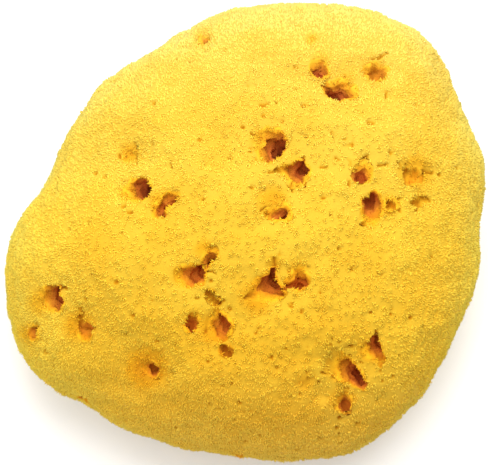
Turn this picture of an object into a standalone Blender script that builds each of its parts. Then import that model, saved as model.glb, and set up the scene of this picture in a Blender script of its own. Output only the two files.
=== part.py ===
"""Natural bath sponge: one soft yellow dome with a flat cut base, pitted by the mouths of its water canals.

The origin is the middle of the base, +Z is up, and +Y is the upper edge of the sponge seen from above.
Lengths below are in millimetres, and MM turns them into Blender's metres.
"""

import math
from collections import namedtuple

import bmesh
import bpy
from mathutils import Matrix, Vector, noise
from mathutils.bvhtree import BVHTree

MM = 0.001

# Height of the whole sponge, and of its widest level above the cut base
HEIGHT = 64.0
WAIST_HEIGHT = 23.0
# The lower half would close this far under the waist if the base weren't cut
KEEL_DROP = 36.0
# How square the upper half's shoulders are: 2 is an ellipse
SHOULDER = 2.35
# The summit stands off the middle of the outline
SUMMIT_SHIFT = Vector((6.0, 3.0))
# Each edge of the icosahedron that the body starts from is cut this many times
BODY_CUTS = 12

# Places on the upper side are given as an eye sees them that looks down at the middle of the waist from
# this far away and this steeply, on the plane square to its line of sight through that middle
EYE_DISTANCE = 600.0
EYE_STEEPNESS = math.radians(80)

# The widest outline seen from above, anticlockwise from the right
OUTLINE = (
    (61.6, 0.0),
    (62.7, 10.0),
    (61.9, 20.0),
    (55.4, 34.4),
    (49.0, 48.0),
    (32.0, 58.6),
    (14.7, 61.2),
    (-6.4, 59.4),
    (-26.8, 48.0),
    (-44.0, 34.8),
    (-51.2, 22.2),
    (-54.6, 11.2),
    (-61.8, 1.5),
    (-65.0, -10.0),
    (-64.2, -22.6),
    (-56.8, -37.8),
    (-41.6, -46.3),
    (-34.2, -51.6),
    (-14.0, -58.0),
    (12.0, -61.2),
    (26.0, -59.2),
    (43.3, -47.3),
    (50.6, -37.4),
    (56.9, -24.4),
    (61.3, -11.8),
)

# Swells of the whole surface, as spacing and height, and how much of them reaches the outline
SWELLS = ((34.0, 1.8), (15.0, 1.1), (9.0, 0.5))
SWELL_AT_WAIST = 0.5

# Soft hollows and lobes of the upper side: place, radius of the bell, and height
Swell = namedtuple("Swell", "x y radius height")
HOLLOWS = (
    Swell(-26.0, -36.0, 8.5, -2.8),
    Swell(-43.6, -24.7, 6.5, -1.8),
    Swell(-51.0, 4.0, 9.0, -1.6),
    Swell(-54.0, -9.0, 11.0, 1.6),
    Swell(45.6, 15.5, 6.5, -1.6),
    Swell(47.5, 8.4, 4.0, -0.9),
    Swell(6.2, 40.0, 4.5, -1.0),
    Swell(35.0, 44.5, 5.0, -1.2),
    Swell(-31.0, 21.0, 4.5, -1.0),
    Swell(-8.0, -25.0, 7.0, -1.4),
    Swell(4.0, -17.0, 6.5, -1.2),
    Swell(7.0, 8.5, 5.0, -1.2),
    Swell(27.0, -38.0, 8.0, -1.2),
    Swell(33.5, -31.5, 4.5, -1.0),
)

# Large canal mouths of the upper side: depth, the side that slopes in, in degrees, and the mouth's corners
Mouth = namedtuple("Mouth", "depth open_side corners")
LARGE_MOUTHS = (
    Mouth(11, 60, ((30.2, 38.9), (28.8, 41.0), (26.7, 42.0), (23.2, 40.2), (21.8, 38.8), (23.0, 36.5),
                   (24.9, 35.0), (26.7, 36.3), (28.6, 36.6))),
    Mouth(5, 75, ((22.4, 44.0), (21.2, 46.7), (18.7, 46.6), (17.6, 45.4), (18.0, 43.3), (19.2, 42.0),
                  (21.0, 41.6), (22.1, 42.4))),
    Mouth(3.5, 95, ((38.4, 43.6), (38.0, 47.2), (35.2, 46.6), (33.4, 44.9), (31.4, 43.2), (32.0, 41.4),
                  (34.3, 40.0), (36.2, 41.0), (38.2, 41.4))),
    Mouth(16, 150, ((9.8, 23.5), (9.5, 25.6), (8.5, 26.8), (6.4, 26.9), (4.5, 26.1), (3.9, 24.0),
                    (4.6, 21.9), (5.5, 20.5), (7.3, 20.1), (9.0, 21.2))),
    Mouth(8, 200, ((17.3, 16.5), (16.0, 17.7), (14.2, 18.9), (12.7, 17.8), (9.0, 17.2), (8.8, 15.9),
                    (11.4, 14.9), (13.9, 13.1), (15.3, 14.2))),
    Mouth(12, 120, ((11.5, 5.9), (10.9, 7.9), (9.2, 7.2), (7.2, 6.3), (6.0, 4.8), (7.8, 3.9), (9.9, 4.1),
                   (11.4, 2.8))),
    Mouth(6, 80, ((33.7, 15.0), (33.2, 20.2), (31.6, 19.0), (30.1, 17.2), (28.8, 15.2), (29.4, 14.4),
                  (31.0, 13.8), (33.4, 13.8))),
    Mouth(8, 280, ((37.2, 7.0), (36.4, 9.4), (34.4, 9.9), (32.5, 9.2), (32.1, 6.8), (32.7, 4.4),
                    (32.5, 2.3), (34.7, 2.1), (36.2, 4.2))),
    Mouth(2.5, 90, ((49.2, 16.0), (47.6, 17.4), (45.6, 18.0), (43.4, 17.4), (42.2, 16.4), (42.9, 15.0),
                    (44.2, 13.0), (46.6, 13.6), (47.8, 15.0))),
    Mouth(1.5, 100, ((-28.8, 20.0), (-28.6, 22.0), (-29.9, 23.8), (-31.4, 22.0), (-33.8, 21.0), (-33.0, 19.8),
                   (-31.0, 19.4), (-29.2, 18.5))),
    Mouth(13, 195, ((-25.1, 11.6), (-26.2, 13.2), (-27.1, 14.5), (-29.2, 13.9), (-31.4, 14.3),
                    (-32.0, 11.6), (-31.0, 9.4), (-28.8, 9.0), (-26.5, 9.8))),
    Mouth(7, 130, ((-17.5, 9.7), (-18.7, 10.7), (-21.0, 10.5), (-23.4, 9.2), (-25.0, 7.2), (-24.4, 4.7),
                    (-22.1, 4.3), (-21.6, 6.3), (-19.4, 7.4))),
    Mouth(7, 190, ((-10.7, -11.9), (-11.8, -9.8), (-14.2, -8.6), (-16.2, -9.2), (-18.3, -10.3),
                    (-17.9, -12.6), (-17.0, -14.1), (-14.6, -14.2), (-13.2, -12.8), (-11.6, -13.8))),
    Mouth(8, 120, ((-7.9, -5.4), (-8.6, -4.1), (-10.2, -4.8), (-11.2, -7.2), (-11.6, -9.0), (-10.4, -9.6),
                   (-9.5, -8.0), (-8.4, -6.9))),
    Mouth(4.5, 60, ((-11.0, -23.4), (-12.0, -21.9), (-14.4, -22.0), (-15.3, -23.6), (-16.1, -24.6),
                  (-14.7, -26.5), (-13.3, -25.4), (-11.4, -24.9))),
    Mouth(6, 195, ((-3.7, -24.9), (-4.8, -22.4), (-7.2, -20.7), (-8.8, -22.8), (-9.4, -25.0),
                   (-8.6, -27.6), (-6.8, -29.0), (-5.0, -28.1), (-4.6, -26.3))),
    Mouth(8.5, 225, ((10.3, -15.8), (8.5, -14.1), (7.9, -12.4), (7.6, -9.8), (6.2, -11.8), (4.4, -12.4),
                    (3.0, -14.9), (1.8, -17.2), (4.6, -18.2), (6.6, -18.6), (8.3, -17.2))),
    Mouth(6, 95, ((17.3, -13.3), (15.9, -11.2), (15.3, -8.4), (13.6, -9.8), (12.8, -12.0), (10.6, -14.4),
                  (13.2, -14.6), (15.4, -14.5))),
    Mouth(8, 190, ((-47.8, -18.7), (-49.0, -16.6), (-49.6, -14.8), (-52.0, -15.4), (-55.2, -16.3),
                    (-57.0, -19.8), (-54.0, -20.9), (-50.3, -21.0))),
    Mouth(5, 170, ((-54.3, -24.3), (-55.5, -23.7), (-57.6, -25.9), (-59.5, -28.1), (-58.4, -29.3),
                   (-55.8, -28.0), (-55.3, -25.6))),
    Mouth(3, 180, ((-41.0, -25.8), (-43.0, -24.4), (-44.0, -21.0), (-45.8, -24.0), (-45.0, -27.6),
                   (-43.0, -29.8), (-41.8, -28.0))),
    Mouth(5, 190, ((-23.3, -36.2), (-24.5, -34.2), (-26.4, -34.7), (-28.3, -36.5), (-26.4, -37.6),
                   (-24.2, -38.7))),
    Mouth(8, 165, ((30.2, -37.0), (28.6, -35.0), (27.2, -33.3), (24.7, -34.0), (23.2, -36.2),
                    (25.6, -38.6), (28.8, -40.5), (31.0, -42.1), (32.5, -41.5), (31.0, -39.0))),
    Mouth(6, 225, ((37.6, -33.6), (35.7, -30.6), (35.6, -27.6), (34.2, -28.4), (32.8, -30.0),
                   (31.9, -33.6), (34.8, -33.9), (36.4, -35.4))),
    Mouth(4, 135, ((28.0, -43.5), (26.2, -42.8), (24.0, -44.2), (24.9, -47.2), (27.3, -48.8),
                   (28.0, -46.6))),
)

# The coat of fibre narrows a mouth, and the more so the deeper its canal is: a large mouth is cut wider than
# it is seen by this share for each millimetre of depth
GROWTH_PER_MM = 0.018

# Small canal mouths of the upper side: place, long and short diameter, turn of the long one, depth
Small = namedtuple("Small", "x y long short turn depth")
SMALL_MOUTHS = (
    Small(17.9, 51.8, 3.2, 2.0, 20, 3),
    Small(5.3, 11.4, 2.4, 1.8, 100, 3),
    Small(9.7, 10.0, 2.0, 1.5, 20, 2.5),
    Small(31.0, 12.4, 3.4, 1.7, 85, 5),
    Small(37.7, 17.4, 2.0, 1.5, 20, 3),
    Small(39.4, 7.6, 4.8, 2.2, 12, 3.5),
    Small(47.6, 8.6, 5.4, 2.2, 0, 2.5),
    Small(-8.5, -17.6, 4.8, 1.8, -47, 5),
    Small(-5.0, -31.7, 3.8, 1.8, -52, 6),
    Small(7.6, -21.1, 2.4, 1.5, -70, 4),
    Small(15.5, -28.8, 1.8, 1.5, 0, 3),
    Small(15.3, -41.0, 2.6, 1.7, -10, 4),
    Small(18.1, -39.2, 2.2, 1.6, -40, 4),
    Small(21.6, -43.6, 4.0, 1.7, -25, 4),
    Small(-43.4, -16.2, 2.0, 1.5, 85, 3),
    Small(-42.2, -18.6, 2.0, 1.6, 0, 3),
    Small(-11.2, 52.0, 5.0, 3.4, 50, 3),
)

# Canal mouths of the flanks: bearing in degrees, height of the mouth, the same sizes, and the side that
# slopes in
FlankMouth = namedtuple("FlankMouth", "bearing height long short turn depth open_side")
FLANK_MOUTHS = (
    FlankMouth(6, 24, 7.6, 5.8, 20, 15, 60),
    FlankMouth(20, 13, 5.4, 4.2, -30, 10, 140),
    FlankMouth(49, 19, 6.2, 5.0, 60, 12, 90),
    FlankMouth(72, 27, 7.8, 6.0, 10, 16, 110),
    FlankMouth(83, 16, 5.6, 4.4, 60, 11, 30),
    FlankMouth(104, 23, 5.0, 4.4, 0, 9, 80),
    FlankMouth(122, 19, 7.4, 5.8, -20, 15, 120),
    FlankMouth(143, 27, 5.2, 4.0, 35, 9, 60),
    FlankMouth(161, 14, 5.6, 4.6, 30, 13, 90),
    FlankMouth(188, 17, 6.2, 4.6, 0, 11, 150),
    FlankMouth(211, 14, 6.4, 5.0, 45, 12, 100),
    FlankMouth(227, 25, 5.0, 3.8, -50, 9, 45),
    FlankMouth(245, 17, 7.6, 5.4, -15, 15, 80),
    FlankMouth(268, 23, 5.4, 4.4, 20, 10, 130),
    FlankMouth(284, 14, 6.8, 5.4, 0, 14, 60),
    FlankMouth(308, 22, 5.6, 4.4, 40, 10, 100),
    FlankMouth(333, 16, 7.4, 5.4, -35, 14, 90),
)

# Canals that the cut opened in the base, with the same sizes as the small ones
BASE_MOUTHS = (
    Small(-22.0, 16.0, 8.4, 6.8, 20, 15),
    Small(19.0, 24.0, 7.0, 5.8, -40, 13),
    Small(29.0, -11.0, 8.0, 6.2, 70, 15),
    Small(-11.0, -24.0, 6.6, 5.4, 10, 12),
    Small(-35.0, -9.0, 5.6, 4.8, 35, 11),
    Small(10.0, -33.0, 5.6, 4.2, -20, 10),
)

# The surface sinks around a mouth in a bell this wide and deep, as shares of the mouth's long diameter
RIM_SPREAD = 0.8
RIM_SINK = 0.12

# How a canal narrows: share of its depth, and share of its mouth's width
DEEP_TAPER = ((0.13, 0.82), (0.4, 0.66), (0.75, 0.48), (1.0, 0.26))
SHALLOW_TAPER = ((0.22, 0.82), (0.7, 0.56), (1.0, 0.28))
DEEP_CANAL = 10.0
# A canal leans in under the side across from its open one, as a tangent
LEAN = 0.5
# The cutter stands this far out of the surface, and there it is this much wider than the mouth and has
# moved to the open side by this share of the mouth's long diameter
CUTTER_RISE = 3.5
CUTTER_FLARE = 1.4
FUNNEL = 0.3
# Deeper than this share of its depth, a canal is round whatever the shape of its mouth
ROUND_SHARE = 0.8
# Corners of an oval mouth for each millimetre of its long diameter, and the fewest and most it has
CORNERS_PER_MM = 1.2
CORNER_RANGE = (6, 8)
# How far a corner of an oval slips round it, as a share of its span, and stands in or out, as a share of
# the radius
CORNER_SLIP = 0.3
CORNER_JUT = 0.3
# How far a canal's middle wanders, as a share of its depth
WANDER = 0.09

SPONGE_COLOUR = (0.93, 0.56, 0.06, 1.0)
SPONGE_ROUGHNESS = 0.92

# A canal ready to be cut: where it comes out, which way, its corners about that spot, and how it runs
Canal = namedtuple("Canal", "spot outwards corners depth open_side")


def clear_scene():
    for item in list(bpy.data.objects):
        bpy.data.objects.remove(item)


def sponge_material():
    material = bpy.data.materials.new("sponge_yellow")
    material.use_nodes = True
    shader = material.node_tree.nodes["Principled BSDF"]
    shader.inputs["Base Color"].default_value = SPONGE_COLOUR
    shader.inputs["Roughness"].default_value = SPONGE_ROUGHNESS
    shader.inputs["Metallic"].default_value = 0.0
    return material


def outline_stations():
    """The outline's points as (bearing, radius), in order of bearing."""
    return sorted((math.atan2(y, x) % math.tau, math.hypot(x, y)) for x, y in OUTLINE)


def outline_radius(bearing, stations):
    """Radius of the outline at a bearing, on a closed smooth curve through its stations."""
    count = len(stations)
    bearing %= math.tau
    after = next((i for i, s in enumerate(stations) if s[0] > bearing), count)

    def station(i):
        turns, place = divmod(i, count)
        return stations[place][0] + turns * math.tau, stations[place][1]

    (t0, r0), (t1, r1), (t2, r2), (t3, r3) = (station(after + k) for k in (-2, -1, 0, 1))
    span = t2 - t1
    u = (bearing - t1) / span
    slope1 = (r2 - r0) / (t2 - t0) * span
    slope2 = (r3 - r1) / (t3 - t1) * span
    return (
        (2 * u**3 - 3 * u**2 + 1) * r1
        + (u**3 - 2 * u**2 + u) * slope1
        + (3 * u**2 - 2 * u**3) * r2
        + (u**3 - u**2) * slope2
    )


def dome_point(direction, stations):
    """Point of the plain dome in a direction from the middle of its waist."""
    radius = outline_radius(math.atan2(direction.y, direction.x), stations)
    level = math.hypot(direction.x, direction.y)
    heading = Vector((direction.x, direction.y)) / max(level, 1e-9)
    if direction.z < 0:
        flat = heading * radius * level
        return Vector((flat.x, flat.y, WAIST_HEIGHT + KEEL_DROP * direction.z))
    reach = level ** (2 / SHOULDER)
    rise = direction.z ** (2 / SHOULDER)
    flat = heading * radius * reach + SUMMIT_SHIFT * rise
    return Vector((flat.x, flat.y, WAIST_HEIGHT + (HEIGHT - WAIST_HEIGHT) * rise))


def swell_share(steepness):
    """How much of the swells stays on a part of the surface: little at the outline, all on top."""
    return SWELL_AT_WAIST + (1 - SWELL_AT_WAIST) * min(1.0, 1.6 * steepness)


def make_dome(stations):
    """The closed dome with its swells, as a bmesh."""
    dome = bmesh.new()
    bmesh.ops.create_icosphere(dome, subdivisions=1, radius=1.0)
    bmesh.ops.subdivide_edges(dome, edges=dome.edges[:], cuts=BODY_CUTS, use_grid_fill=True)
    shares = {vert: swell_share(abs(vert.co.normalized().z)) for vert in dome.verts}
    for vert in dome.verts:
        vert.co = dome_point(vert.co.normalized(), stations)
    dome.normal_update()
    for vert, normal in [(vert, vert.normal.copy()) for vert in dome.verts]:
        swell = sum(size * noise.noise(vert.co / spacing) for spacing, size in SWELLS)
        vert.co += normal * swell * shares[vert]
    dome.normal_update()
    return dome


def eye_frame():
    """The middle of the waist, the way from it to the eye, and the way that looks upward to the eye."""
    middle = Vector((0, 0, WAIST_HEIGHT))
    to_eye = Vector((0, -math.cos(EYE_STEEPNESS), math.sin(EYE_STEEPNESS)))
    upwards = Vector((0, math.sin(EYE_STEEPNESS), math.cos(EYE_STEEPNESS)))
    return middle, to_eye, upwards


def seen_spot(x, y, tree):
    """Where the eye meets the surface when it looks at a place, and the way out of a canal there."""
    middle, to_eye, upwards = eye_frame()
    eye = middle + EYE_DISTANCE * to_eye
    place = middle + Vector((x, 0, 0)) + y * upwards
    spot, normal, _, _ = tree.ray_cast(eye, (place - eye).normalized())
    return spot, (normal + to_eye).normalized()


def flank_spot(bearing, height, tree):
    """Where a level line from the middle comes out of the flank, and the surface's normal there."""
    heading = Vector((math.cos(math.radians(bearing)), math.sin(math.radians(bearing)), 0))
    start = heading * 2 * HEIGHT + Vector((0, 0, height))
    spot, normal, _, _ = tree.ray_cast(start, -heading)
    return spot, normal


def oval_corners(mouth, number):
    """Corners of a ragged oval about its middle."""
    fewest, most = CORNER_RANGE
    count = min(most, max(fewest, round(mouth.long * CORNERS_PER_MM)))
    turn = Matrix.Rotation(math.radians(mouth.turn), 2)
    corners = []
    for side in range(count):
        slip = CORNER_SLIP * noise.cell((side + 0.5, number + 0.5, 1.5))
        angle = math.tau * (side + slip) / count
        radius = 0.5 * (1 + CORNER_JUT * noise.cell((side + 0.5, number + 0.5, 0.5)))
        corner = Vector((mouth.long * radius * math.cos(angle), mouth.short * radius * math.sin(angle)))
        corners.append(turn @ corner)
    return corners


def placed_canals(tree):
    """Every canal of the upper side and the flanks."""
    for mouth in LARGE_MOUTHS:
        points = [Vector(corner) for corner in mouth.corners]
        middle = sum(points, Vector((0, 0))) / len(points)
        growth = 1 + GROWTH_PER_MM * mouth.depth
        corners = [growth * (point - middle) for point in points]
        yield Canal(*seen_spot(middle.x, middle.y, tree), corners, mouth.depth, mouth.open_side)
    for number, mouth in enumerate(SMALL_MOUTHS):
        spot, outwards = seen_spot(mouth.x, mouth.y, tree)
        yield Canal(spot, outwards, oval_corners(mouth, number), mouth.depth, mouth.turn + 90)
    for number, mouth in enumerate(FLANK_MOUTHS, len(SMALL_MOUTHS)):
        spot, outwards = flank_spot(mouth.bearing, mouth.height, tree)
        yield Canal(spot, outwards, oval_corners(mouth, number), mouth.depth, mouth.open_side)


def base_canals():
    for number, mouth in enumerate(BASE_MOUTHS, len(SMALL_MOUTHS) + len(FLANK_MOUTHS)):
        spot = Vector((mouth.x, mouth.y, 0))
        yield Canal(spot, Vector((0, 0, -1)), oval_corners(mouth, number), mouth.depth, mouth.turn)


def mouth_length(canal):
    return 2 * max(corner.length for corner in canal.corners)


def sink_surface(dome):
    """Press the soft hollows and the mouths' rims into the dome, and raise its lobes."""
    tree = BVHTree.FromBMesh(dome)
    bells = [(seen_spot(swell.x, swell.y, tree)[0], swell.radius, swell.height) for swell in HOLLOWS]
    for canal in placed_canals(tree):
        length = mouth_length(canal)
        bells.append((canal.spot, RIM_SPREAD * length, -RIM_SINK * length))
    for vert, normal in [(vert, vert.normal.copy()) for vert in dome.verts]:
        place = vert.co.copy()
        for spot, radius, height in bells:
            vert.co += normal * height * math.exp(-(((place - spot).length / radius) ** 2))


def cut_base(dome):
    """Cut the dome flat at the base, and put the origin under the middle of its box."""
    cut = bmesh.ops.bisect_plane(
        dome,
        geom=dome.verts[:] + dome.edges[:] + dome.faces[:],
        plane_co=(0, 0, 0),
        plane_no=(0, 0, 1),
        clear_inner=True,
        dist=0.01,
    )
    rim = [edge for edge in cut["geom_cut"] if isinstance(edge, bmesh.types.BMEdge)]
    bmesh.ops.contextual_create(dome, geom=rim)
    low = [min(vert.co[axis] for vert in dome.verts) for axis in range(2)]
    high = [max(vert.co[axis] for vert in dome.verts) for axis in range(2)]
    middle = Vector(((low[0] + high[0]) / 2, (low[1] + high[1]) / 2, 0))
    bmesh.ops.translate(dome, verts=dome.verts, vec=-middle)
    bmesh.ops.recalc_face_normals(dome, faces=dome.faces)


def canal_rings(canal, number):
    """Rings of a canal's cutter, from the outside to its blind end, with the canal along -Z."""
    taper = DEEP_TAPER if canal.depth > DEEP_CANAL else SHALLOW_TAPER
    stations = [(-CUTTER_RISE / canal.depth, CUTTER_FLARE), *taper]
    towards_open = Matrix.Rotation(math.radians(canal.open_side), 3, "Z") @ Vector((1, 0, 0))
    mean_radius = sum(corner.length for corner in canal.corners) / len(canal.corners)
    rings = []
    for share, width in stations:
        drift = Vector((noise.noise((number, 3.1, share)), noise.noise((number, 8.7, share)), 0))
        middle = drift * 2 * WANDER * canal.depth * max(share, 0)
        middle -= towards_open * LEAN * canal.depth * max(share, 0)
        if share < 0:
            middle += towards_open * FUNNEL * mouth_length(canal)
        middle.z = -share * canal.depth
        roundness = min(1, max(share, 0) / ROUND_SHARE)
        ring = []
        for corner in canal.corners:
            radius = corner.length + (mean_radius - corner.length) * roundness
            ring.append(middle + (corner.normalized() * radius * width).to_3d())
        rings.append(ring)
    return rings


def make_cutter(name, canal, number, collection):
    """A closed canal cutter with its mouth on the surface."""
    cutter = bmesh.new()
    loops = [[cutter.verts.new(co * MM) for co in ring] for ring in canal_rings(canal, number)]
    sides = len(canal.corners)
    for upper, lower in zip(loops, loops[1:]):
        for side in range(sides):
            after = (side + 1) % sides
            cutter.faces.new((upper[side], lower[side], lower[after], upper[after]))
    cutter.faces.new(loops[0])
    cutter.faces.new(reversed(loops[-1]))
    bmesh.ops.triangulate(cutter, faces=cutter.faces)
    bmesh.ops.recalc_face_normals(cutter, faces=cutter.faces)
    mesh = bpy.data.meshes.new(name)
    cutter.to_mesh(mesh)
    cutter.free()
    item = bpy.data.objects.new(name, mesh)
    # A mouth on a level face is drawn with +X to its right, and one on a flank with the level line
    outwards = canal.outwards
    across = Vector((1, 0, 0)) if abs(outwards.z) > 0.5 else Vector((0, 0, 1)).cross(outwards)
    right = (across - outwards * across.dot(outwards)).normalized()
    frame = Matrix((right, outwards.cross(right), outwards)).transposed()
    item.matrix_world = Matrix.Translation(canal.spot * MM) @ frame.to_4x4()
    item.hide_render = True
    item.display_type = "WIRE"
    collection.objects.link(item)


def make_cutters(tree, collection):
    for number, canal in enumerate([*placed_canals(tree), *base_canals()]):
        make_cutter(f"canal_{number}", canal, number, collection)


def main():
    clear_scene()
    dome = make_dome(outline_stations())
    sink_surface(dome)
    cut_base(dome)
    tree = BVHTree.FromBMesh(dome)
    bmesh.ops.scale(dome, verts=dome.verts, vec=(MM, MM, MM))
    mesh = bpy.data.meshes.new("sponge")
    dome.to_mesh(mesh)
    dome.free()
    mesh.shade_smooth()
    mesh.materials.append(sponge_material())
    sponge = bpy.data.objects.new("sponge", mesh)
    bpy.context.scene.collection.objects.link(sponge)
    canals = bpy.data.collections.new("canal_cutters")
    bpy.context.scene.collection.children.link(canals)
    make_cutters(tree, canals)
    pits = sponge.modifiers.new("canals", "BOOLEAN")
    pits.operation = "DIFFERENCE"
    pits.operand_type = "COLLECTION"
    pits.collection = canals
    pits.solver = "EXACT"


main()
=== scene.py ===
"""Natural bath sponge: a granular yellow dome with a coat of short fibre tufts, pores and water canals.

Lengths below are in millimetres, and MM turns them into metres.
"""

import math

import bpy
import numpy as np
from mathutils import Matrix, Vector, noise
from mathutils.bvhtree import BVHTree
from mathutils.kdtree import KDTree


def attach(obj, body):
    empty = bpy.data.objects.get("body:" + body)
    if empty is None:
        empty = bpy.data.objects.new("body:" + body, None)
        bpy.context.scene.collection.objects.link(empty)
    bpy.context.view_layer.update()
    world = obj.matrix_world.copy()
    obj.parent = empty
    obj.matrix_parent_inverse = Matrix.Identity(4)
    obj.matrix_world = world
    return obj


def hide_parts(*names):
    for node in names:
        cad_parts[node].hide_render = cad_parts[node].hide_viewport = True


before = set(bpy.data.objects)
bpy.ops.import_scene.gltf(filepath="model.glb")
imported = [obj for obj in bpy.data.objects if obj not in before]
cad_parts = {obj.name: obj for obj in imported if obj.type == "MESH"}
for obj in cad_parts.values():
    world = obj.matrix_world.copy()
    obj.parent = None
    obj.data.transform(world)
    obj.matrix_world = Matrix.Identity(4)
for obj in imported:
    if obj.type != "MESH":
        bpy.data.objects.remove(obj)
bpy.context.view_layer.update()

MM = 0.001

# The eye looks down at the middle of the sponge's waist
EYE_DISTANCE = 600.0
EYE_STEEPNESS = math.radians(80)
WAIST_HEIGHT = 23.0
# The picture's width in pixels, and how wide a pixel is at the waist
PICTURE_PIXELS = 489
PIXEL_WIDTH = 0.2675
PICTURE_WIDTH = PICTURE_PIXELS * PIXEL_WIDTH
SENSOR_WIDTH = 36.0

# The cut base is the skin that lies under this height and faces down, with less than this upward part
FLAT_HEIGHT = 0.6
FLAT_FACING = -0.7
# Grid of the body's skin, and the most triangles that it keeps
SKIN_GRID = 0.6
SKIN_TRIANGLES = 190000
# Plain skin is thinned first: how strongly, how little it is shut in, and how far it is from any pore
PLAIN_WEIGHT = 10.0
PLAIN_SHADE = 0.1
PLAIN_CLEARANCE = 0.5
# Rounds of smoothing, and the shares by which each one pulls in and pushes back out
SMOOTH_ROUNDS = 1
SMOOTH_PULLS = (0.5, -0.52)

# Shade is worked out on a grid of its own: its size, the rays from each point, how far outside the skin
# they start, and how far they reach
SHADE_GRID = 0.85
SHADE_RAYS = 24
SHADE_START = 0.25
SHADE_REACH = 28.0
# So many points of that grid count at a place, the nearer the more, but alike within this distance
SHADE_NEIGHBOURS = 4
SHADE_BLUR = 0.05
# Skin that is less shut in than this is open, and over this much more it turns into a canal's wall
OPEN_SHADE = 0.12
OPEN_FADE = 0.3

# The fibre coat is this deep, and the body lies that far inside the sponge's outside
COAT = 0.75
# In the canals the coat thins to this
CANAL_COAT = 0.15
# At the cut base the body is drawn in at least this far, and it stays this far above the floor
BASE_SINK = 0.35
LEAST_HEIGHT = 0.25
# Noise stays within about a half, and this brings it up to one
NOISE_GAIN = 2
# Lumps of the skin under the coat and of the canals' walls, as spacing and height
LUMPS = ((5.0, 0.3), (2.3, 0.2))
CANAL_LUMPS = ((2.4, 0.45), (1.2, 0.3))
# Mouths of canals are ragged: spacing of their wander, and how far they wander sideways
RIM_WANDERS = ((2.2, 0.6), (1.1, 0.35))
# How sharply the wander sets in at a rim, and the shift that makes it differ between the axes
RIM_SHARPNESS = 4
AXIS_SHIFT = 20

# Pores: spacing of the cells they lie in, radius of the widest, and share of cells with one
PORE_CELL = 2.6
PORE_RADIUS = 0.8
PORE_SHARE = 0.12
# The narrowest pore's radius, as a share of the widest's
LEAST_PORE = 0.6
# How deep a pore is, and how steeply its depth and its painted shade set in from its edge
PORE_DEPTH = 1.0
PORE_STEEPNESS = 1.6
PORE_SHADE_STEEPNESS = 2
# Pores crowd in these patches: middle, radius, and how many times more of them there are in the middle
PORE_PATCHES = (
    ((6, -18, 55), 26, 1.6),
    ((26, 12, 60), 20, 1.2),
    ((26, -40, 40), 22, 1.6),
    ((-22, -14, 50), 16, 1.2),
    ((0, 0, 0), 48, 2.6),
)
# Where there is no pore, a place counts as this far in one
FAR_OUTSIDE = -9.0
# Scales that give each cell of pores and each clump a chance value of its own
PORE_CHANCE = 41
CLUMP_CHANCE = 17

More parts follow.
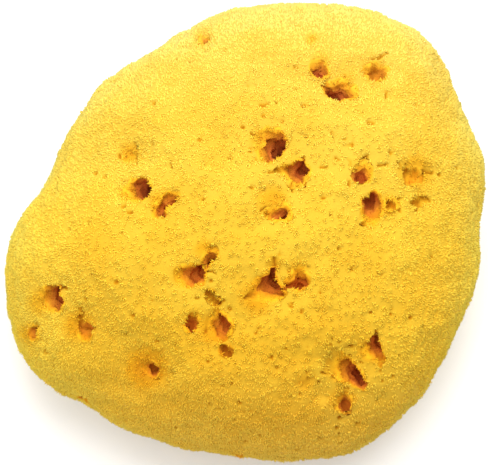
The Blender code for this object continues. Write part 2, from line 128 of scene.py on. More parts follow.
# Gashes and single pores, where the eye sees them on a plane through the waist: from, to, and half width
GASHES = (
    (27.0, 42.6, 26.8, 41.0, 0.45),
    (21.2, 38.9, 23.0, 38.5, 0.55),
    (34.2, 46.4, 35.8, 46.5, 0.55),
    (36.2, 47.0, 38.2, 48.4, 0.45),
    (37.8, 38.1, 38.2, 36.9, 0.40),
    (3.0, 25.7, 1.8, 26.7, 0.45),
    (9.4, 16.6, 6.6, 16.4, 0.50),
    (15.9, 20.4, 15.5, 18.4, 0.45),
    (15.9, 12.6, 15.3, 14.2, 0.45),
    (12.5, 11.2, 12.9, 13.8, 0.40),
    (20.4, 17.7, 21.8, 17.6, 0.50),
    (4.7, 6.1, 6.4, 6.6, 0.55),
    (10.4, 9.0, 10.5, 7.4, 0.45),
    (32.8, 20.4, 31.4, 18.6, 0.65),
    (28.2, 13.6, 28.4, 12.6, 0.55),
    (35.8, 18.0, 38.6, 18.2, 0.45),
    (40.6, 8.5, 42.0, 9.2, 0.45),
    (41.0, 7.8, 41.7, 5.9, 0.50),
    (31.6, 2.2, 32.8, 2.6, 0.55),
    (43.2, 16.0, 43.9, 13.2, 0.60),
    (47.7, 15.9, 46.8, 14.0, 0.60),
    (48.2, 16.4, 50.8, 15.8, 0.50),
    (42.2, 17.2, 41.9, 18.9, 0.45),
    (45.2, 8.1, 46.5, 7.5, 0.65),
    (46.4, 6.4, 46.4, 6.0, 0.50),
    (47.0, 8.6, 50.0, 8.7, 0.50),
    (-29.9, 24.0, -29.2, 22.6, 0.25),
    (-29.1, 20.6, -29.0, 18.6, 0.25),
    (-33.6, 20.8, -33.6, 20.2, 0.65),
    (-31.0, 14.2, -33.2, 14.3, 0.40),
    (-32.2, 7.5, -32.8, 6.6, 0.50),
    (-31.2, 5.6, -30.4, 5.6, 0.60),
    (-12.2, -9.4, -9.9, -10.5, 0.45),
    (-9.9, -10.5, -8.6, -10.6, 0.35),
    (-7.4, -19.2, -5.6, -18.5, 0.40),
    (-10.2, -15.8, -8.4, -17.9, 0.50),
    (-8.4, -17.9, -6.6, -19.6, 0.50),
    (-5.9, -30.6, -4.4, -32.8, 0.60),
    (-14.4, -25.6, -14.4, -26.0, 0.60),
    (-10.7, -27.1, -10.0, -26.1, 0.50),
    (0.2, -17.7, 3.0, -16.0, 0.55),
    (10.6, -16.3, 8.6, -15.8, 0.50),
    (7.8, -9.9, 8.2, -7.0, 0.50),
    (7.4, -9.6, 7.0, -12.0, 0.60),
    (10.0, -14.7, 12.4, -14.2, 0.50),
    (21.0, -37.8, 24.0, -37.6, 0.45),
    (35.3, -29.0, 35.6, -26.4, 0.50),
    (36.8, -33.2, 37.5, -34.6, 0.50),
    (36.3, -34.4, 36.4, -36.2, 0.50),
    (26.9, -45.6, 27.7, -49.0, 0.60),
    (24.5, -46.6, 25.1, -47.5, 0.50),
    (-49.8, -14.8, -47.8, -15.4, 0.50),
    (-44.2, -20.8, -43.5, -24.6, 0.50),
    (-43.5, -24.8, -40.6, -25.9, 0.50),
    (-25.0, -36.2, -22.9, -36.3, 0.50),
    (-25.0, -38.2, -23.4, -39.3, 0.45),
    (33.4, 29.9, 34.7, 29.7, 0.70),
    (28.9, 23.9, 28.9, 23.5, 0.70),
    (39.4, 21.8, 39.4, 21.2, 0.60),
    (4.4, 34.4, 6.0, 34.7, 0.60),
    (15.8, 34.3, 16.4, 34.4, 0.60),
    (-0.6, 28.5, -0.4, 28.5, 0.60),
    (2.0, 12.1, 2.4, 12.1, 0.60),
    (20.8, 9.6, 21.2, 9.6, 0.65),
    (7.2, -33.8, 7.4, -33.6, 0.65),
    (12.0, -19.4, 12.4, -19.2, 0.60),
    (15.2, -21.4, 15.4, -21.0, 0.60),
    (28.4, -31.0, 29.2, -31.0, 0.55),
    (25.7, -50.5, 26.2, -50.3, 0.75),
    (24.9, -53.0, 24.9, -52.6, 0.65),
)

# Orange stains, and painted shade in hollows, around pits and where no canal is cut, on the same plane:
# place, radius and strength
STAINS_AND_HOLLOW_SHADES = (
    (27.5, 41.0, 4.0, 0.5),
    (20.6, 46.0, 3.6, 0.6),
    (34.6, 43.8, 4.6, 0.6),
    (3.6, 25.0, 3.4, 0.7),
    (13.6, 18.4, 4.2, 0.5),
    (7.6, 8.6, 4.6, 0.9),
    (12.6, 13.0, 3.0, 0.5),
    (31.4, 17.2, 3.4, 0.8),
    (38.6, 7.2, 3.6, 0.8),
    (33.8, 3.2, 2.6, 0.7),
    (45.8, 16.4, 4.8, 1.0),
    (47.0, 8.4, 3.4, 0.6),
    (18.0, 51.8, 2.4, 0.7),
    (-30.6, 21.0, 3.6, 0.8),
    (-31.2, 10.6, 3.0, 0.8),
    (-23.2, 8.6, 3.4, 0.7),
    (-16.6, -11.6, 3.6, 0.8),
    (-11.0, -4.6, 3.4, 0.8),
    (-9.2, -16.6, 1.4, 1.8),
    (-7.4, -18.6, 1.4, 1.8),
    (-5.1, -31.7, 1.7, 1.9),
    (-13.2, -23.0, 3.4, 0.7),
    (-8.4, -25.6, 4.8, 0.9),
    (3.4, -17.4, 5.0, 0.9),
    (8.0, -8.2, 2.6, 0.7),
    (14.6, -10.4, 3.4, 0.7),
    (-54.6, -18.6, 4.4, 0.8),
    (-57.6, -27.0, 3.4, 0.8),
    (-44.4, -25.2, 4.8, 0.9),
    (-26.4, -36.4, 6.0, 1.2),
    (-28.0, -37.0, 11.0, 0.5),
    (25.0, -36.6, 4.6, 0.7),
    (33.8, -31.8, 4.0, 0.8),
    (16.6, -40.2, 3.4, 0.6),
    (26.0, -45.0, 4.6, 0.7),
    (-11.2, 52.0, 4.0, 0.6),
    (-41.0, -3.0, 13.0, 0.45),
)
# The least shade value on the canal colours that one of these of full strength gives: partly a real stain,
# partly painted shade
STAIN_AND_HOLLOW_SHADE = 0.32

# Tufts gather in clumps of this spacing, and their tips are drawn together by this share
CLUMP = 1.7
CLUMP_PULL = 0.25
# Where three clumps meet a gap may stay open, this share of their spacing wide
GAP = 0.16
# Gaps are wider and narrower in patches: their spacing, the middle share of the width, and how far it changes
GAP_SPACING = 2.6
GAP_MIDDLE = 0.75
GAP_CHANGE = 0.7
# Tufts that would stand farther in a pore than this are left out
PORE_OVERHANG = 0.1
# Tufts to a square millimetre on the outside, in the canals and on the cut base
TUFTS_OUTSIDE = 6.2
TUFTS_IN_CANALS = 3.0
TUFTS_ON_BASE = 1.4
# The most tufts in one piece of the coat
TUFTS_PER_PIECE = 49000
# Sides of a tuft, its half width at the root, and how deep the root is sunk
TUFT_SIDES = 3
TUFT_HALF_WIDTH = 0.3
TUFT_ROOT = 0.2
# Least and most of the half width and of the length, as shares of the usual
TUFT_WIDTHS = (0.75, 1.2)
TUFT_LENGTHS = (0.8, 1.1)
# Length at the middle of a clump, and how much of it is lost at the clump's edge and deep in a canal
MIDDLE_LENGTH = 1.15
EDGE_LOSS = 0.35
CANAL_LOSS = 0.7
# How far a tuft leans by chance, downhill, and over the rim of a mouth
TUFT_LEAN = 0.25
TUFT_COMB = 0.25
RIM_HAIR = 3.5
# Least and most share of the lean over a rim that a tuft takes by chance
RIM_SWING = (-0.2, 1)
# A rim is where the sponge is about this much shut in, give or take this
RIM_SHADE = 0.2
RIM_FADE = 0.14
# How much longer the longest tufts at a rim are than those of the coat
RIM_GROWTH = 1.3
# Tufts turn into a canal by how much the shade grows over this distance
RIM_REACH = 3

# Colours from the open skin down into the canals, by how shut in a point is: partly the canals' own browner
# colour, partly painted shade and a painted reddish glow of light through the fibres
SHADES = (
    (0.08, (0.93, 0.71, 0.092)),
    (0.22, (0.90, 0.57, 0.034)),
    (0.40, (0.80, 0.41, 0.018)),
    (0.60, (0.66, 0.27, 0.020)),
    (0.86, (0.66, 0.18, 0.034)),
    (1.00, (0.34, 0.062, 0.023)),
)
# How a fibre's tone changes its colour, from the dark gaps between tufts to their tips: the low end is
# painted shade
TONES = (
    (0.0, (0.48, 0.36, 0.18)),
    (0.5, (0.92, 0.87, 0.76)),
    (1.0, (1.0, 1.0, 1.0)),
)
# Broad patches where the sponge has weathered more: spacing, detail, where they set in, and colour
PATCH_SPACING = 14.0
PATCH_DETAIL = 2
PATCH_FADE = ((0.42, (0, 0, 0)), (0.62, (1, 1, 1)))
PATCH_COLOUR = (0.98, 0.93, 0.78)
# Painted light: the sponge is lighter and bluer towards +Y, the side its key light comes from, and darker and
# more orange towards -Y, and its flanks are lighter and bluer than its top: colours between two places
LIT_SIDE_REACH = (-60.0, 60.0)
LIT_SIDE_COLOURS = (
    (0.0, (0.92, 0.74, 0.46)),
    (0.2, (0.97, 0.88, 0.50)),
    (0.45, (1.0, 0.97, 0.72)),
    (0.7, (1.0, 1.0, 1.05)),
    (1.0, (1.0, 1.0, 1.6)),
)
FLANK_LIGHT_REACH = (20.0, 55.0)
FLANK_LIGHT_COLOURS = (
    (0.0, (1.06, 1.22, 2.1)),
    (0.5, (1.03, 1.10, 1.5)),
    (1.0, (1.0, 1.0, 1.0)),
)
# Fine grain of the fibre: spacing, height as a share of it, detail, and least and most roughness
GRAIN_SPACING = 0.5
GRAIN_HEIGHT = 0.4
GRAIN_DETAIL = 3
GRAIN_ROUGHNESS = (0.8, 1.0)
# How strong the grain's relief is on the tufts and on the skin, and the gloss of both
TUFT_RELIEF = 0.5
SKIN_RELIEF = 0.8
SPECULAR = 0.12
# Tone of the skin between the tufts, darkened as painted shade
SKIN_SHADE_TONE = 0.2
# How much less painted shade the walls of the canals get, where fewer tufts cover the skin
CANAL_SHADE_LIFT = 0.45
# Painted shade at a tuft's root: its tone as a share of its tip's
ROOT_SHADE_TONE = 0.7
# Least and most tone of a tip by chance, how much a light clump adds, and how much painted shade takes away
# at its edge
TIP_TONES = (0.86, 1.05)
CLUMP_TONE = 0.05
EDGE_SHADE_TONE = 0.1
# Painted shade at the bottoms of pores and gashes: the least shade value there, and how much of the skin's
# tone they lose
PORE_SHADE = 0.38
PORE_DARKNESS = 0.55
# Steps that spread points evenly over a square
EVEN_STEPS = np.array((0.7549, 0.5698))

# The floor: how far it reaches from the middle, its colour and roughness
FLOOR_REACH = 3000.0
FLOOR_COLOUR = (0.9, 0.9, 0.9)
FLOOR_ROUGHNESS = 0.8
# Soft square lights: name, place, width and power
LIGHTS = (
    ("key", (100, 420, 800), 800, 9),
    ("fill", (-380, -120, 830), 900, 3.5),
)
SKY_STRENGTH = 0.74

SEED = 7
RANDOM = np.random.default_rng(SEED)


def remeshed(source, grid):
    """A copy of an object's solid as an even mesh of small faces."""
    item = bpy.data.objects.new("grid_copy", source.data.copy())
    bpy.context.scene.collection.objects.link(item)
    grid_modifier = item.modifiers.new("grid", "REMESH")
    grid_modifier.mode = "VOXEL"
    grid_modifier.voxel_size = grid * MM
    graph = bpy.context.evaluated_depsgraph_get()
    mesh = bpy.data.meshes.new_from_object(item.evaluated_get(graph))
    bpy.data.objects.remove(item)
    return mesh


def points_of(mesh):
    """Vertex places in millimetres."""
    places = np.empty(len(mesh.vertices) * 3)
    mesh.vertices.foreach_get("co", places)
    return places.reshape(-1, 3) / MM


def put_points(mesh, places):
    mesh.vertices.foreach_set("co", (places * MM).ravel())
    mesh.update()


def normals_of(mesh):
    normals = np.empty(len(mesh.vertices) * 3)
    mesh.vertex_normals.foreach_get("vector", normals)
    return normals.reshape(-1, 3)


def edges_of(mesh):
    ends = np.empty(len(mesh.edges) * 2, dtype=np.int32)
    mesh.edges.foreach_get("vertices", ends)
    return ends.reshape(-1, 2)


def averaged(values, edges):
    """Each vertex's value as the mean of its neighbours'."""
    values = values.reshape(len(values), -1)
    count = np.bincount(edges.ravel(), minlength=len(values))
    ends = np.concatenate([edges, edges[:, ::-1]])
    sums = [np.bincount(ends[:, 0], column[ends[:, 1]], len(values)) for column in values.T]
    return np.stack(sums, 1) / np.maximum(count, 1)[:, None]


def smoothed(places, edges, rounds):
    """Soften a surface without drawing it in: each round pulls in, then pushes back out."""
    for _ in range(rounds):
        for pull in SMOOTH_PULLS:
            places = places + pull * (averaged(places, edges) - places)
    return places


def unit(vectors):
    return vectors / np.maximum(np.linalg.norm(vectors, axis=1), 1e-9)[:, None]


def across(vectors, normals):
    """The part of each vector that lies along the surface."""
    return vectors - normals * (vectors * normals).sum(1)[:, None]


def noise_at(places, spacing, offset=0.0):
    shift = Vector((offset, offset, offset))
    return np.array([noise.noise(Vector(place) / spacing + shift) for place in places])


def lumps_at(places, kinds):
    """Height of the lumps of several kinds at each point."""
    return sum(NOISE_GAIN * height * noise_at(places, spacing) for spacing, height in kinds)


def ray_directions(count):
    """Directions of an even cosine-weighted fan about +Z."""
    turn = math.pi * (3 - math.sqrt(5))
    spread = [math.sqrt((i + 0.5) / count) for i in range(count)]
    return [
        Vector((r * math.cos(i * turn), r * math.sin(i * turn), math.sqrt(1 - r * r)))
        for i, r in enumerate(spread)
    ]


def shut_in(mesh):
    """For each vertex of a closed mesh, the share of outward ways that meet the sponge again."""
    places = points_of(mesh)
    normals = normals_of(mesh)
    faces = [tuple(face.vertices) for face in mesh.polygons]
    tree = BVHTree.FromPolygons([Vector(place) for place in places], faces)
    fan = ray_directions(SHADE_RAYS)
    met = np.zeros(len(places))
    for i, (place, normal) in enumerate(zip(places, normals)):
        out = Vector(normal)
        turn = Vector((0, 0, 1)).rotation_difference(out)
        start = Vector(place) + SHADE_START * out
        hits = sum(tree.ray_cast(start, turn @ way, SHADE_REACH)[0] is not None for way in fan)
        met[i] = hits / len(fan)
    return places, met


def shade_finder(source):
    """A function that says how shut in the sponge is at any of its points."""
    from_places, met = shut_in(remeshed(source, SHADE_GRID))
    tree = KDTree(len(from_places))
    for i, place in enumerate(from_places):
        tree.insert(place, i)
    tree.balance()

    def shut_at(places):
        found = np.empty(len(places))
        for i, place in enumerate(places):
            near = tree.find_n(place, SHADE_NEIGHBOURS)
            weights = [1 / (away + SHADE_BLUR) for _, _, away in near]
            found[i] = sum(w * met[j] for w, (_, j, _) in zip(weights, near)) / sum(weights)
        return found

    return shut_at


def uphill(values, places, edges):
    """The way along the surface in which a value grows, as long as its growth per millimetre."""
    ends = np.concatenate([edges, edges[:, ::-1]])
    steps = places[ends[:, 1]] - places[ends[:, 0]]
    rise = (values[ends[:, 1]] - values[ends[:, 0]]) / np.maximum((steps**2).sum(1), 1e-6)
    count = np.maximum(np.bincount(ends[:, 0], minlength=len(places)), 1)
    sums = [np.bincount(ends[:, 0], rise * column, len(places)) for column in steps.T]
    return 2 * np.stack(sums, 1) / count[:, None]


def eye_axes():
    """The way from the middle of the waist to the eye, and the way that looks upward to the eye."""
    to_eye = np.array((0, -math.cos(EYE_STEEPNESS), math.sin(EYE_STEEPNESS)))
    upwards = np.array((0, math.sin(EYE_STEEPNESS), math.cos(EYE_STEEPNESS)))
    return to_eye, upwards


def seen_at(places):
    """Where the eye sees each point, on the plane square to its line of sight through the waist's middle."""
    to_eye, upwards = eye_axes()
    from_middle = places - np.array((0, 0, WAIST_HEIGHT))
    nearer = EYE_DISTANCE / (EYE_DISTANCE - from_middle @ to_eye)
    return np.stack([from_middle[:, 0] * nearer, from_middle @ upwards * nearer], axis=1)


def gashes_at(places):
    """How far each point of the upper side lies in a gash: 1 along its middle, below 0 outside."""
    seen = seen_at(places)
    found = np.full(len(places), FAR_OUTSIDE)
    for x0, y0, x1, y1, half_width in GASHES:
        start = np.array((x0, y0))
        run = np.array((x1, y1)) - start
        share = np.clip((seen - start) @ run / max(run @ run, 1e-9), 0, 1)
        away = np.linalg.norm(seen - start - share[:, None] * run, axis=1)
        found = np.maximum(found, 1 - away / half_width)
    return np.where(places[:, 2] > WAIST_HEIGHT, found, FAR_OUTSIDE)


def stains_and_hollow_shade_at(places):
    """How strong the stains and the painted shade of hollows are at each point of the upper side."""
    seen = seen_at(places)
    found = np.zeros(len(places))
    for x, y, radius, strength in STAINS_AND_HOLLOW_SHADES:
        away = np.linalg.norm(seen - np.array((x, y)), axis=1)
        found = np.maximum(found, strength * np.exp(-((away / radius) ** 2)))
    return np.where(places[:, 2] > WAIST_HEIGHT, found, 0)


def crowding_at(places):
    """How many times more pores there are than in the plainest places."""
    crowding = np.ones(len(places))
    for middle, radius, more in PORE_PATCHES:
        away = np.linalg.norm(places - np.array(middle), axis=1)
        crowding += more * np.exp(-((away / radius) ** 2))
    return crowding


def pores_at(places):
    """How far each point lies in a pore or a gash: 1 at the middle, below 0 outside."""
    shares = PORE_SHARE * crowding_at(places)
    found = gashes_at(places)
    for i, place in enumerate(places):
        away, spots = noise.voronoi(Vector(place) / PORE_CELL)
        luck = 0.5 + 0.5 * noise.cell(spots[0] * PORE_CHANCE)
        if luck < shares[i]:
            radius = PORE_RADIUS * (LEAST_PORE + (1 - LEAST_PORE) * (1 - luck / shares[i]))
            found[i] = max(found[i], 1 - away[0] * PORE_CELL / radius)
    return found


def clumps_at(places):
    """For each point its clump's middle and lightness, how near it is to the edge, and to a gap."""
    middles = np.empty_like(places)
    facts = np.empty((len(places), 3))
    for i, place in enumerate(places):
        away, spots = noise.voronoi(Vector(place) / CLUMP)
        middles[i] = spots[0] * CLUMP
        lightness = noise.cell(spots[0] * CLUMP_CHANCE)
        facts[i] = (lightness, away[0] / max(away[1], 1e-6), away[2] - away[0])
    return middles, *facts.T


def ragged(places, normals, shut):
    """Rims of canal mouths moved sideways, so that they run in and out."""
    near_rim = np.clip(RIM_SHARPNESS * shut, 0, 1) * np.clip(RIM_SHARPNESS * (1 - shut), 0, 1)
    for spacing, wander in RIM_WANDERS:
        drift = np.stack([noise_at(places, spacing, AXIS_SHIFT * axis) for axis in range(3)], axis=1)
        places = places + NOISE_GAIN * wander * near_rim[:, None] * across(drift, normals)
    return places


def add_attribute(mesh, name, values):
    layer = mesh.attributes.new(name, "FLOAT", "POINT")
    layer.data.foreach_set("value", values.astype(np.float32))


def thinned(mesh, plain):
    """Fewer and larger triangles where the skin is plain."""
    item = bpy.data.objects.new("thinned_copy", mesh)
    bpy.context.scene.collection.objects.link(item)
    group = item.vertex_groups.new(name="plain")
    group.add([int(i) for i in np.flatnonzero(plain)], 1.0, "REPLACE")
    modifier = item.modifiers.new("thinned", "DECIMATE")
    modifier.ratio = SKIN_TRIANGLES / sum(len(face.vertices) - 2 for face in mesh.polygons)
    modifier.vertex_group = "plain"
    modifier.vertex_group_factor = PLAIN_WEIGHT
    graph = bpy.context.evaluated_depsgraph_get()
    made = bpy.data.meshes.new_from_object(item.evaluated_get(graph))
    bpy.data.objects.remove(item)
    return made


def even_body(source, shut_at):
    """The sponge's solid made even and softened, with larger triangles where it is plain."""
    mesh = remeshed(source, SKIN_GRID)
    places = smoothed(points_of(mesh), edges_of(mesh), SMOOTH_ROUNDS)
    put_points(mesh, places)
    plain = (shut_at(places) < PLAIN_SHADE) & (pores_at(places) < -PLAIN_CLEARANCE)
    return thinned(mesh, plain & (places[:, 2] > FLAT_HEIGHT))


def make_skin(source):
    """The body drawn in under its coat, lumped and pored, and what its coat needs to know at each point.

    That is how shut in the point is, the way into the canal beside it, and how thickly tufts grow there.
    """
    shut_at = shade_finder(source)
    mesh = even_body(source, shut_at)
    edges = edges_of(mesh)
    places = points_of(mesh)
    normals = normals_of(mesh)
    shut = averaged(shut_at(places), edges)[:, 0]
    open_share = 1 - np.clip((shut - OPEN_SHADE) / OPEN_FADE, 0, 1)
    flat = (places[:, 2] < FLAT_HEIGHT) & (normals[:, 2] < FLAT_FACING)
    pores = pores_at(places)
    canal_lumps = lumps_at(places, CANAL_LUMPS)
    coat = CANAL_COAT + (COAT - CANAL_COAT) * open_share
    sink = coat - lumps_at(places, LUMPS) * open_share - canal_lumps * (1 - open_share)
    sink += PORE_DEPTH * np.clip(PORE_STEEPNESS * pores, 0, 1)
    sink[flat] = np.maximum(BASE_SINK, sink[flat])
    moved = ragged(places, normals, np.where(flat, 0, shut)) - normals * sink[:, None]
    moved[:, 2] = np.maximum(moved[:, 2], LEAST_HEIGHT)
    put_points(mesh, moved)
    mesh.shade_smooth()
    # Painted shade: pores and gashes are coloured darker and browner towards their middles
    pore_shade_share = np.clip(PORE_SHADE_STEEPNESS * pores, 0, 1)
    stain_and_pore_shade = np.maximum(STAIN_AND_HOLLOW_SHADE * stains_and_hollow_shade_at(places), PORE_SHADE * pore_shade_share)
    # Painted shade: the skin takes the canal colours by how shut in it is, and by the stains, hollows and
    # pores when these call for more
    add_attribute(mesh, "shade", np.maximum(shut, stain_and_pore_shade))
    # Painted shade: the skin between the tufts is dark, and less so on the walls of the canals
    skin_shade_tone = SKIN_SHADE_TONE + CANAL_SHADE_LIFT * (1 - open_share) * (1 + canal_lumps)
    add_attribute(mesh, "tone", skin_shade_tone * (1 - PORE_DARKNESS * pore_shade_share))
    density = TUFTS_IN_CANALS + (TUFTS_OUTSIDE - TUFTS_IN_CANALS) * open_share
    density[flat] = TUFTS_ON_BASE
    return mesh, shut, RIM_REACH * uphill(shut, moved, edges), density


def sown(mesh, density):
    """Points spread over a mesh: each one's four face corners, and how much each corner counts."""
    starts = np.empty(len(mesh.polygons), dtype=np.int32)
    mesh.polygons.foreach_get("loop_start", starts)
    sizes = np.empty(len(mesh.polygons), dtype=np.int32)
    mesh.polygons.foreach_get("loop_total", sizes)
    areas = np.empty(len(mesh.polygons))
    mesh.polygons.foreach_get("area", areas)
    loops = np.empty(len(mesh.loops), dtype=np.int32)
    mesh.loops.foreach_get("vertex_index", loops)
    corners = np.stack([loops[starts + np.minimum(k, sizes - 1)] for k in range(4)], axis=1)
    wanted = areas / MM**2 * density[corners].mean(axis=1)
    counts = np.floor(wanted + RANDOM.random(len(wanted))).astype(int)
    faces = np.repeat(np.arange(len(counts)), counts)
    order = np.arange(len(faces)) - np.repeat(np.cumsum(counts) - counts, counts)
    across_face = (RANDOM.random((len(counts), 2))[faces] + order[:, None] * EVEN_STEPS) % 1
    u, v = across_face.T
    weights = np.stack([(1 - u) * (1 - v), u * (1 - v), u * v, (1 - u) * v], axis=1)
    return corners[faces], weights


def spread(values, corners, weights):
    """A mesh's values at its sown points."""
    return np.einsum("pc,pc...->p...", weights, values[corners])


def tuft_tips(roots, outs, shuts, into, edge, middles):
    """Where tufts end: they lean by chance, downhill, over rims and to the middle of their clump."""
    count = len(roots)
    lean = across(RANDOM.normal(0, TUFT_LEAN, (count, 3)), outs)
    downhill = across(np.tile((0.0, 0.0, -TUFT_COMB), (count, 1)), outs)
    pulls = CLUMP_PULL * across(middles - roots, outs)
    rim = np.exp(-(((shuts - RIM_SHADE) / RIM_FADE) ** 2))
    hair = (rim * RANDOM.uniform(*RIM_SWING, count))[:, None] * RIM_HAIR * across(into, outs)
    lengths = COAT * RANDOM.uniform(*TUFT_LENGTHS, count)
    lengths = lengths * (MIDDLE_LENGTH - EDGE_LOSS * edge) * (1 - CANAL_LOSS * shuts)
    lengths *= 1 + RIM_GROWTH * rim * RANDOM.random(count) ** 2
    return roots + unit(outs + lean + downhill + hair) * lengths[:, None] + pulls * (1 - shuts)[:, None]


def tuft_mesh(name, roots, outs, tips, shades, tones):
    """Closed spikes of three sides and a bottom, with their root ring sunk into the skin."""
    count = len(roots)
    side = unit(np.cross(outs, RANDOM.normal(0, 1, (count, 3))))
    other = np.cross(outs, side)
    wide = TUFT_HALF_WIDTH * RANDOM.uniform(*TUFT_WIDTHS, count)
    low = roots - TUFT_ROOT * outs
    ring = []
    for corner in range(TUFT_SIDES):
        angle = math.tau * corner / TUFT_SIDES
        ring.append(low + wide[:, None] * (math.cos(angle) * side + math.sin(angle) * other))
    verts = np.stack([*ring, tips], axis=1).reshape(-1, 3)
    verts[:, 2] = np.maximum(verts[:, 2], 0.0)
    shape = np.array([[0, 1, 3], [1, 2, 3], [2, 0, 3], [0, 2, 1]])
    points = TUFT_SIDES + 1
    faces = (shape[None] + points * np.arange(count)[:, None, None]).reshape(-1, 3)
    mesh = bpy.data.meshes.new(name)
    mesh.vertices.add(len(verts))
    mesh.loops.add(faces.size)
    mesh.polygons.add(len(faces))
    mesh.vertices.foreach_set("co", (verts * MM).ravel())
    mesh.loops.foreach_set("vertex_index", faces.ravel())
    mesh.polygons.foreach_set("loop_start", np.arange(0, faces.size, 3))
    mesh.update(calc_edges=True)
    mesh.shade_smooth()
    at_tip = np.tile([0.0, 0.0, 0.0, 1.0], count)
    add_attribute(mesh, "shade", np.repeat(shades, points))
    # Painted shade: a tuft darkens from its tip to its root
    add_attribute(mesh, "tone", (ROOT_SHADE_TONE + (1 - ROOT_SHADE_TONE) * at_tip) * np.repeat(tones, points))
    return mesh


def make_piece(name, mesh, material):
    item = bpy.data.objects.new(name, mesh)
    bpy.context.scene.collection.objects.link(item)
    mesh.materials.clear()
    mesh.materials.append(material)
    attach(item, "root")
    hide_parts("sponge")


def ramp(nodes, links, value, stops):
    """Colours that follow a value, as places from 0 to 1 and their colours."""
    node = nodes.new("ShaderNodeValToRGB")
    band = node.color_ramp
    band.elements[0].position = stops[0][0]
    band.elements[0].color = (*stops[0][1], 1)
    band.elements[1].position = stops[-1][0]
    band.elements[1].color = (*stops[-1][1], 1)
    for place, colour in stops[1:-1]:
        band.elements.new(place).color = (*colour, 1)
    links.new(value, node.inputs["Fac"])
    return node.outputs["Color"]


def attribute(nodes, name):
    node = nodes.new("ShaderNodeAttribute")
    node.attribute_name = name
    return node.outputs["Fac"]


def noise_node(nodes, links, spacing, detail):
    """Noise over the sponge's own space, with lumps of one spacing."""
    place = nodes.new("ShaderNodeTexCoord").outputs["Object"]
    node = nodes.new("ShaderNodeTexNoise")
    node.inputs["Scale"].default_value = 1 / (spacing * MM)
    node.inputs["Detail"].default_value = detail
    links.new(place, node.inputs["Vector"])
    return node.outputs["Fac"]


def multiplied(nodes, links, first, second, share):
    """One colour multiplied by another, as far as share says: a number or a socket."""
    node = nodes.new("ShaderNodeMix")
    node.data_type = "RGBA"
    node.blend_type = "MULTIPLY"
    links.new(first, node.inputs["A"])
    if isinstance(second, tuple):
        node.inputs["B"].default_value = (*second, 1)
    else:
        links.new(second, node.inputs["B"])
    if isinstance(share, float):
        node.inputs["Factor"].default_value = share
    else:
        links.new(share, node.inputs["Factor"])
    return node.outputs["Result"]


def along_axis(nodes, links, axis, reach, colours):
    """Colours that change along one of the sponge's own axes, from one end of a reach to the other."""
    place = nodes.new("ShaderNodeTexCoord").outputs["Object"]
    parts = nodes.new("ShaderNodeSeparateXYZ")
    links.new(place, parts.inputs["Vector"])
    along = nodes.new("ShaderNodeMapRange")
    along.inputs["From Min"].default_value = reach[0] * MM
    along.inputs["From Max"].default_value = reach[1] * MM
    links.new(parts.outputs[axis], along.inputs["Value"])
    return ramp(nodes, links, along.outputs["Result"], colours)


def fibre_colour(nodes, links):
    """Colour by how shut in the fibre is and its tone, both partly painted shade, and by where on the sponge
    it grows, which paints light on the +Y side and the flanks.
    """
    shades = ramp(nodes, links, attribute(nodes, "shade"), SHADES)
    tones = ramp(nodes, links, attribute(nodes, "tone"), TONES)
    colour = multiplied(nodes, links, shades, tones, 1.0)
    patches = ramp(nodes, links, noise_node(nodes, links, PATCH_SPACING, PATCH_DETAIL), PATCH_FADE)
    colour = multiplied(nodes, links, colour, PATCH_COLOUR, patches)
    # Painted light: lighter towards +Y and on the flanks, darker towards -Y
    lit_side = along_axis(nodes, links, "Y", LIT_SIDE_REACH, LIT_SIDE_COLOURS)
    colour = multiplied(nodes, links, colour, lit_side, 1.0)
    flank_light = along_axis(nodes, links, "Z", FLANK_LIGHT_REACH, FLANK_LIGHT_COLOURS)
    return multiplied(nodes, links, colour, flank_light, 1.0)


def add_grain(nodes, links, shader, strength):
    """Fine grain in the fibre's roughness and relief."""
    grain = noise_node(nodes, links, GRAIN_SPACING, GRAIN_DETAIL)
    roughness = nodes.new("ShaderNodeMapRange")
    roughness.inputs["To Min"].default_value = GRAIN_ROUGHNESS[0]
    roughness.inputs["To Max"].default_value = GRAIN_ROUGHNESS[1]
    links.new(grain, roughness.inputs["Value"])
    links.new(roughness.outputs["Result"], shader.inputs["Roughness"])
    relief = nodes.new("ShaderNodeBump")
    relief.inputs["Strength"].default_value = strength
    relief.inputs["Distance"].default_value = GRAIN_HEIGHT * GRAIN_SPACING * MM
    links.new(grain, relief.inputs["Height"])
    links.new(relief.outputs["Normal"], shader.inputs["Normal"])


def fibre_material(name, relief):
    """Matt sponge fibre, with grain of a given relief."""
    material = bpy.data.materials.new(name)
    material.use_nodes = True
    nodes, links = material.node_tree.nodes, material.node_tree.links
    shader = nodes["Principled BSDF"]
    shader.inputs["Specular IOR Level"].default_value = SPECULAR
    links.new(fibre_colour(nodes, links), shader.inputs["Base Color"])
    add_grain(nodes, links, shader, relief)
    return material


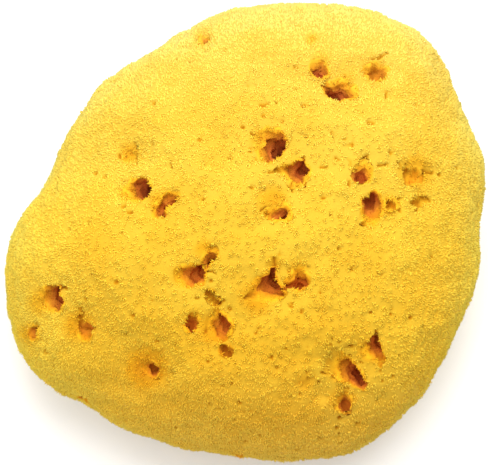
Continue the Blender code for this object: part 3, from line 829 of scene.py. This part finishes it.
def make_tufts(skin, shut, into, density):
    """The coat, in pieces that each cover a sector of the sponge."""
    corners, weights = sown(skin, density)
    roots = spread(points_of(skin), corners, weights)
    outs = unit(spread(normals_of(skin), corners, weights))
    shuts = spread(shut, corners, weights)
    into = spread(into, corners, weights)
    middles, lightness, edge, gap = clumps_at(roots)
    openness = np.clip(GAP_MIDDLE + GAP_CHANGE * noise_at(roots, GAP_SPACING), 0, 1)
    keep = gap > GAP * openness * crowding_at(roots)
    keep &= pores_at(roots + COAT * outs) < PORE_OVERHANG
    roots, outs, shuts, into = roots[keep], outs[keep], shuts[keep], into[keep]
    middles, lightness, edge = middles[keep], lightness[keep], edge[keep]
    tips = tuft_tips(roots, outs, shuts, into, edge, middles)
    # Tips differ in tone at random and by clump, and painted shade darkens them towards a clump's edge
    tones = RANDOM.uniform(*TIP_TONES, len(roots)) + CLUMP_TONE * lightness - EDGE_SHADE_TONE * edge**2
    # Painted shade: tufts take the canal colours by how shut in they are, and by stains and hollows when
    # these call for more
    shades = np.maximum(shuts, STAIN_AND_HOLLOW_SHADE * stains_and_hollow_shade_at(roots))
    material = fibre_material("sponge_tufts", TUFT_RELIEF)
    order = np.argsort(np.arctan2(roots[:, 1], roots[:, 0]))
    pieces = math.ceil(len(roots) / TUFTS_PER_PIECE)
    for number, part in enumerate(np.array_split(order, pieces)):
        name = f"sponge_pile_{number + 1}"
        mesh = tuft_mesh(name, roots[part], outs[part], tips[part], shades[part], tones[part])
        make_piece(name, mesh, material)


def make_sponge():
    skin, *facts = make_skin(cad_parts["sponge"])
    make_piece("sponge_skin", skin, fibre_material("sponge_skin", SKIN_RELIEF))
    make_tufts(skin, *facts)


def make_floor():
    reach = FLOOR_REACH * MM
    corners = [(-reach, -reach, 0), (reach, -reach, 0), (reach, reach, 0), (-reach, reach, 0)]
    mesh = bpy.data.meshes.new("floor")
    mesh.from_pydata(corners, [], [(0, 1, 2, 3)])
    floor = bpy.data.objects.new("floor", mesh)
    bpy.context.scene.collection.objects.link(floor)
    material = bpy.data.materials.new("floor_white")
    material.use_nodes = True
    shader = material.node_tree.nodes["Principled BSDF"]
    shader.inputs["Base Color"].default_value = (*FLOOR_COLOUR, 1)
    shader.inputs["Roughness"].default_value = FLOOR_ROUGHNESS
    mesh.materials.append(material)


def make_light(name, place, size, power):
    data = bpy.data.lights.new(name, "AREA")
    data.size = size * MM
    data.energy = power
    light = bpy.data.objects.new(name, data)
    light.location = Vector(place) * MM
    aim = Vector((0, 0, WAIST_HEIGHT)) * MM - light.location
    light.rotation_euler = aim.to_track_quat("-Z", "Y").to_euler()
    bpy.context.scene.collection.objects.link(light)


def make_lights():
    for light in LIGHTS:
        make_light(*light)
    world = bpy.data.worlds.new("studio")
    world.use_nodes = True
    sky = world.node_tree.nodes["Background"]
    sky.inputs["Color"].default_value = (1, 1, 1, 1)
    sky.inputs["Strength"].default_value = SKY_STRENGTH
    bpy.context.scene.world = world
    bpy.context.scene.view_settings.view_transform = "Standard"


def make_camera():
    data = bpy.data.cameras.new("eye")
    data.sensor_width = SENSOR_WIDTH
    data.lens = SENSOR_WIDTH * EYE_DISTANCE / PICTURE_WIDTH
    camera = bpy.data.objects.new("eye", data)
    to_eye = Vector(eye_axes()[0])
    camera.location = (Vector((0, 0, WAIST_HEIGHT)) + EYE_DISTANCE * to_eye) * MM
    camera.rotation_euler = (-to_eye).to_track_quat("-Z", "Y").to_euler()
    bpy.context.scene.collection.objects.link(camera)
    bpy.context.scene.camera = camera


make_camera()
make_lights()
make_floor()
make_sponge()
